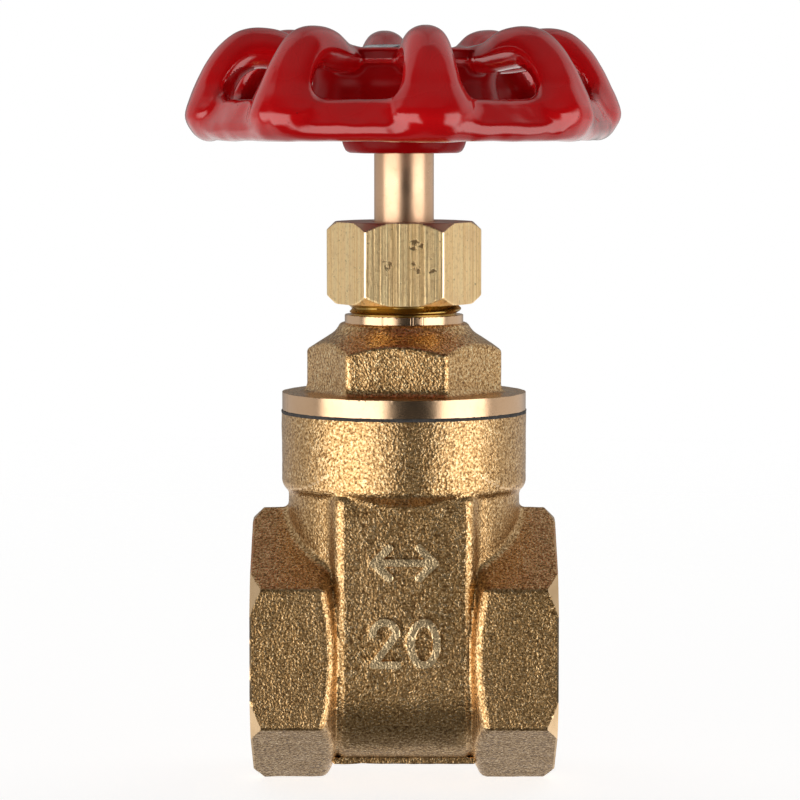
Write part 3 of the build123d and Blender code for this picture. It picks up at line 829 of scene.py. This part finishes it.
def zinc_steel(name):
    n = Nodes(name)
    sp = n.voronoi(520.0, "F1")
    fine = n.noise(2200.0, 3.0, 0.6)
    col = n.mix(n.ramp(sp, [(0.1, 0.0), (0.7, 1.0)]), (0.74, 0.75, 0.77), (0.60, 0.62, 0.65))
    col = n.mix(n.ramp(fine, [(0.55, 0.0), (0.8, 0.4)]), col, (0.42, 0.42, 0.43))
    n.set("Base Color", col)
    n.set("Metallic", 1.0)
    n.set("Roughness", n.remap(fine, 0.3, 0.7, 0.22, 0.34))
    n.set("Normal", n.bump(fine, 0.3, 0.00001))
    return n.mat


def fibre(name):
    n = Nodes(name)
    f = n.noise(1.0, 4.0, 0.7, n.scaled(1500.0, 1500.0, 5000.0))
    g = n.noise(500.0, 3.0, 0.6)
    col = n.ramp(f, [(0.3, (0.010, 0.009, 0.009)), (0.7, (0.050, 0.045, 0.042))])
    col = n.mix(n.ramp(g, [(0.45, 0.0), (0.8, 0.5)]), col, (0.10, 0.085, 0.07))
    n.set("Base Color", col)
    n.set("Metallic", 0.0)
    n.set("Roughness", n.remap(g, 0.3, 0.7, 0.62, 0.8))
    n.set("Normal", n.bump(f, 0.5, 0.00004))
    return n.mat


def graphite(name):
    n = Nodes(name)
    w = n.new("ShaderNodeTexWave", wave_type="BANDS", bands_direction="DIAGONAL")
    w.inputs["Scale"].default_value = 260.0
    w.inputs["Distortion"].default_value = 3.0
    n.link(n.co, w.inputs["Vector"])
    f = n.noise(1800.0, 3.0, 0.6)
    col = n.ramp(f, [(0.3, (0.02, 0.02, 0.021)), (0.7, (0.07, 0.07, 0.072))])
    n.set("Base Color", col)
    n.set("Metallic", 0.15)
    n.set("Roughness", n.remap(f, 0.3, 0.7, 0.45, 0.6))
    n.set("Normal", n.bump(w.outputs["Fac"], 0.5, 0.0001))
    return n.mat


M_CAST = cast_brass("cast_brass")
# darker copy of the cast brass: painted shade for faces inside the body, the seam flanks, the downward lower faces and
# the wedge
M_CAST_SHADED = cast_brass("cast_brass_painted_shade", 0.8)
M_TURN = turned_brass("turned_brass", (0.80, 0.54, 0.335), rough=0.18, scratch=5.0)
M_MARKS_HIGHLIGHT = cast_brass("cast_brass_marks_highlight", 1.0, 0.34)
M_SPINDLE = turned_brass("spindle_brass", (0.75, 0.49, 0.31), 0.31, 6500.0, 0.3)
M_BONNET = cast_brass("cast_brass_bonnet", 1.12)
M_THREAD = turned_brass("thread_brass", (0.42, 0.265, 0.07), 0.28)
M_DULL = turned_brass("turned_brass_dull", (0.52, 0.37, 0.27), 0.34)
M_FACE = faced_brass("faced_brass")
M_DRAWN = drawn_brass("drawn_brass")
M_WORN = drawn_brass("drawn_brass_worn", 1.0)
M_RED = red_enamel("red_enamel")
M_RED_SHADED = red_enamel("red_enamel_painted_shade", 1.0)
M_ZINC = zinc_steel("zinc_steel")
M_GASKET = fibre("gasket_fibre")
M_PACK = graphite("packing_graphite")


def dress(ob, mats, pick=None):
    """Gives the piece its materials; pick(centres in mm, normals) returns each face's slot."""
    ob.data.materials.clear()
    for m in mats:
        ob.data.materials.append(m)
    if pick is None:
        return
    n = len(ob.data.polygons)
    c = np.empty(n * 3, dtype=np.float32)
    v = np.empty(n * 3, dtype=np.float32)
    ob.data.polygons.foreach_get("center", c)
    ob.data.polygons.foreach_get("normal", v)
    idx = pick(c.reshape(-1, 3) / MM, v.reshape(-1, 3))
    ob.data.polygons.foreach_set("material_index", idx.astype(np.int32))
    ob.data.update()


# --------------------------------------------------------------------- pieces
BODY, TURNING, GATE = "valve_body", "stem_and_handwheel", "wedge"

casting = build("body_casting", body_field, (-20.2, -16.8, -0.6), (20.2, 16.8, 48.7), 0.3)


def body_zones(c, v):
    x, y, z = c[:, 0], c[:, 1], c[:, 2]
    r = np.hypot(y, z - BZ)
    rr = np.hypot(x, y)
    ax = np.abs(x)
    faced = (ax > 19.45) | ((np.abs(v[:, 0]) > 0.6) & (np.abs((ax - END_X + r - 16.4)) < 0.12)) | ((r < 13.5) & (ax > 7.0) & (z < 33))
    inner = (rr < 12.9) & (np.abs(y) < 11.6) & (z > 5.5) & (ax < 6.9) & ~faced & (np.abs(y) < 11.6)
    top = (z > 47.9) | ((rr < 13.9) & (z > 40.9))
    idx = np.zeros(len(c), dtype=np.int32)
    # faces inside the body get the darker cast brass: painted shade
    idx[inner] = 2
    # the flanks of the mould seam under the body: painted shade
    idx[(np.abs(y) > 3.9) & (np.abs(y) < 4.9) & (z < 3.5) & (ax < 8.9)] = 2
    idx[faced] = 1
    # downward-facing lower faces of the hexagon ends: painted shade
    idx[(v[:, 2] < -0.55) & (ax > 9.6) & (r > 14.0) & ~faced & (z < 14.0)] = 2
    idx[top] = 3
    # the raised marks get the lighter cast brass: wear and painted highlight
    idx[(y < -14.42) & (np.abs(x) < 6.2) & (z > 15.5) & (z < 33.0)] = 4
    return idx


dress(casting, [M_CAST, M_FACE, M_CAST_SHADED, M_TURN, M_MARKS_HIGHLIGHT], body_zones)
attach(casting, BODY)
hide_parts("body")

bonnet = build("bonnet_casting", bonnet_field, (-16.5, -16.5, 40.7), (16.5, 16.5, 67.6), 0.22)


def bonnet_zones(c, v):
    x, y, z = c[:, 0], c[:, 1], c[:, 2]
    rr = np.hypot(x, y)
    turned = ((rr > 15.6) & (np.abs(v[:, 2]) < 0.5) & (z < 50.9)) | (z < 48.5) | ((z > 59.72) & (rr < 7.9)) | (rr < 6.9)
    idx = turned.astype(np.int32)
    idx[(z > 60.8) & (rr < 7.9) & (rr > 5.8)] = 2
    return idx


dress(bonnet, [M_BONNET, M_TURN, M_THREAD], bonnet_zones)
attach(bonnet, BODY)
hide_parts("bonnet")

pack_nut = build("packing_nut_hex", nut_field, (-10.9, -9.4, 61.8), (10.9, 9.4, 73.2), 0.14)


def nut_zones(c, v):
    bearing = np.degrees(np.arctan2(v[:, 0], v[:, 1]))
    off = np.abs((bearing + 30.0) % 60.0 - 30.0)
    corner = (np.abs(v[:, 2]) < 0.25) & (off > 7.0) & (np.hypot(c[:, 0], c[:, 1]) > 9.2)
    idx = corner.astype(np.int32)
    idx[(v[:, 2] > 0.3) & (c[:, 2] > 70.0)] = 2
    return idx


dress(pack_nut, [M_DRAWN, M_WORN, M_DULL], nut_zones)
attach(pack_nut, BODY)
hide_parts("packing_nut")

gasket = gasket_ring()
dress(gasket, [M_GASKET])
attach(gasket, BODY)
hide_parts("bonnet_gasket")

spindle = polar("spindle", stem_stations())
dress(spindle, [M_SPINDLE])
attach(spindle, TURNING)
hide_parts("stem")

wheel = build("wheel_casting", wheel_field, (-29.3, -29.3, 81.0), (29.3, 29.3, 98.4), 0.26, 40.0)


def wheel_zones(c, v):
    R = np.hypot(c[:, 0], c[:, 1])
    out = (v[:, 0] * c[:, 0] + v[:, 1] * c[:, 1]) / np.maximum(R, 1e-6)
    # skirt, hub, inner faces of rim and arms and the plate's edge get the darker enamel copy: painted shade
    skirt = (R < 12.6) & (R > 9.0) & (c[:, 2] < 93.1) & (c[:, 2] > 85.5) & (out > 0.1)
    hub = (R < 9.0) & (c[:, 2] < 91.5)
    inside = (R > 13.0) & (c[:, 2] < 93.0) & (out < -0.3)
    edge = (R < 13.3) & (R > 11.6) & (c[:, 2] > 93.6) & (c[:, 2] < 94.8) & (out > 0.5)
    return (skirt | hub | inside | edge).astype(np.int32)


dress(wheel, [M_RED, M_RED_SHADED], wheel_zones)
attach(wheel, TURNING)
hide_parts("handwheel")

top_nut = build("wheel_nut_hex", wheel_nut_field, (-6.3, -6.3, 90.6), (6.3, 6.3, 96.0), 0.12)
dress(top_nut, [M_ZINC])
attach(top_nut, TURNING)
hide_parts("handwheel_nut")

# the pieces inside keep their own shape and get real finishes, but the wedge gets the darker cast brass, which is
# painted shade
for node, mat in (("stem_retaining_ring", M_TURN), ("packing_washer", M_TURN), ("packing_gland", M_TURN), ("packing_ring_1", M_PACK),
                  ("packing_ring_2", M_PACK), ("packing_ring_3", M_PACK), ("wedge_gate", M_CAST_SHADED)):
    dress(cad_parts[node], [mat])

# ---------------------------------------------------------------------- stage
def plain(name, colour, rough=0.6, glow=0.0):
    n = Nodes(name)
    n.set("Base Color", colour)
    n.set("Roughness", rough)
    if glow:
        n.set("Emission Color", (1.0, 1.0, 1.0))
        n.set("Emission Strength", glow)
    return n.mat


bpy.ops.mesh.primitive_circle_add(vertices=128, radius=0.6, fill_type="NGON", location=(0, 0, -0.00005))
floor = bpy.context.object
floor.name = "floor"
fm = Nodes("floor_white")
fm.set("Base Color", (0.55, 0.55, 0.55))
fm.set("Roughness", 0.8)
fm.set("Specular IOR Level", 0.0)
fm.set("Emission Color", (1.0, 1.0, 1.0))
fm.set("Emission Strength", 0.80)
f_len = fm.new("ShaderNodeVectorMath", operation="LENGTH")
fm.link(fm.co, f_len.inputs[0])
f_alpha = fm.remap(f_len.outputs["Value"], 0.12, 0.50, 1.0, 0.0)
f_seen = fm.new("ShaderNodeLightPath")
f_mix = fm.new("ShaderNodeMixShader")
f_clear = fm.new("ShaderNodeBsdfTransparent")
f_out = next(n for n in fm.t.nodes if n.type == "OUTPUT_MATERIAL")
fm.link(fm.math("MULTIPLY", f_alpha, f_seen.outputs["Is Camera Ray"]), f_mix.inputs[0])
fm.link(f_clear.outputs[0], f_mix.inputs[1])
fm.link(fm.bsdf.outputs[0], f_mix.inputs[2])
fm.link(f_mix.outputs[0], f_out.inputs["Surface"])
floor.data.materials.append(fm.mat)

world = bpy.data.worlds.new("studio")
bpy.context.scene.world = world
world.use_nodes = True
wt = world.node_tree
wt.nodes.clear()
w_out = wt.nodes.new("ShaderNodeOutputWorld")
w_mix = wt.nodes.new("ShaderNodeMixShader")
w_path = wt.nodes.new("ShaderNodeLightPath")
w_seen = wt.nodes.new("ShaderNodeBackground")
w_seen.inputs["Color"].default_value = (1, 1, 1, 1)
w_seen.inputs["Strength"].default_value = 1.0
w_room = wt.nodes.new("ShaderNodeBackground")
w_room.inputs["Strength"].default_value = 1.0
w_co = wt.nodes.new("ShaderNodeTexCoord")
w_sep = wt.nodes.new("ShaderNodeSeparateXYZ")
wt.links.new(w_co.outputs["Generated"], w_sep.inputs[0])


def w_math(op, p, q=0.0, clamp=False):
    m = wt.nodes.new("ShaderNodeMath")
    m.operation = op
    m.use_clamp = clamp
    for sock, v in zip(m.inputs, (p, q)):
        if isinstance(v, (int, float)):
            sock.default_value = v
        else:
            wt.links.new(v, sock)
    return m.outputs[0]


def w_step(v, lo, hi):
    m = wt.nodes.new("ShaderNodeMapRange")
    m.interpolation_type = "SMOOTHSTEP"
    wt.links.new(v, m.inputs[0])
    m.inputs[1].default_value = lo
    m.inputs[2].default_value = hi
    return m.outputs[0]


# two tall soft panels left and right of the camera, a dim gap between them, a pale room to the sides and behind
DEG = math.pi / 180
w_az = w_math("ARCTAN2", w_sep.outputs[0], w_math("MULTIPLY", w_sep.outputs[1], -1.0))
w_el = w_math("ARCSINE", w_sep.outputs[2])
w_neg = w_math("MULTIPLY", w_az, -1.0)
w_abs = w_math("ABSOLUTE", w_az)
left = w_math("MULTIPLY", w_step(w_neg, 10 * DEG, 24 * DEG), w_step(w_neg, 90 * DEG, 76 * DEG))
right = w_math("MULTIPLY", w_step(w_az, 26 * DEG, 42 * DEG), w_step(w_az, 90 * DEG, 78 * DEG))
tall = w_math("MULTIPLY", w_step(w_el, -50 * DEG, -36 * DEG), w_step(w_el, 20 * DEG, 5 * DEG))
panels = w_math("MULTIPLY", w_math("ADD", left, right), tall)
side = w_math("MULTIPLY", w_step(w_abs, 84 * DEG, 98 * DEG), w_math("SUBTRACT", 1.0, w_math("MULTIPLY", w_step(w_el, 25 * DEG, 60 * DEG), 0.35)))
side = w_math("MULTIPLY", side, w_step(w_el, -74 * DEG, -52 * DEG))
far = w_math("MULTIPLY", w_step(w_abs, 138 * DEG, 164 * DEG), w_step(w_el, -12 * DEG, 0.0))
side = w_math("MULTIPLY", side, w_math("SUBTRACT", 1.0, w_math("MULTIPLY", far, 0.6)))
side = w_math("MULTIPLY", side, w_math("ADD", 1.0, w_math("MULTIPLY", w_step(w_az, 78 * DEG, 104 * DEG), 0.2)))
back = w_step(w_sep.outputs[1], -0.05, 0.35)
over = w_math("MULTIPLY", w_step(w_el, 30 * DEG, 60 * DEG), w_math("ADD", w_math("MULTIPLY", back, 0.06), 0.16))
level = w_math("ADD", w_math("MULTIPLY", panels, 2.5), w_math("MULTIPLY", side, 0.52))
beneath = w_math("ADD", w_math("MULTIPLY", w_step(w_el, -84 * DEG, -66 * DEG), 0.02), w_math("MULTIPLY", w_step(w_el, -48 * DEG, -34 * DEG), 0.38))
beneath = w_math("MULTIPLY", back, w_math("MULTIPLY", w_step(w_el, -8 * DEG, -20 * DEG), beneath))
level = w_math("ADD", level, beneath)
level = w_math("ADD", level, w_math("MULTIPLY", w_math("MULTIPLY", w_step(w_el, -64 * DEG, -78 * DEG), w_step(w_sep.outputs[1], -0.30, -0.05)), 0.16))
level = w_math("ADD", w_math("ADD", level, over), 0.028)
w_room.inputs["Color"].default_value = (1.0, 0.985, 0.965, 1.0)
wt.links.new(level, w_room.inputs["Strength"])
wt.links.new(w_path.outputs["Is Camera Ray"], w_mix.inputs[0])
wt.links.new(w_room.outputs[0], w_mix.inputs[1])
wt.links.new(w_seen.outputs[0], w_mix.inputs[2])
wt.links.new(w_mix.outputs[0], w_out.inputs[0])


cam = bpy.data.cameras.new("camera")
cam.lens = 167.3
cam.sensor_width = 36.0
cam.clip_start = 0.01
cam_ob = bpy.data.objects.new("camera", cam)
cam_ob.location = (-0.00052, -0.48224, 0.08842)
cam_ob.rotation_euler = (math.radians(90 - 4.608), 0, 0)
bpy.context.collection.objects.link(cam_ob)
bpy.context.scene.camera = cam_ob
bpy.context.scene.view_settings.view_transform = "Standard"
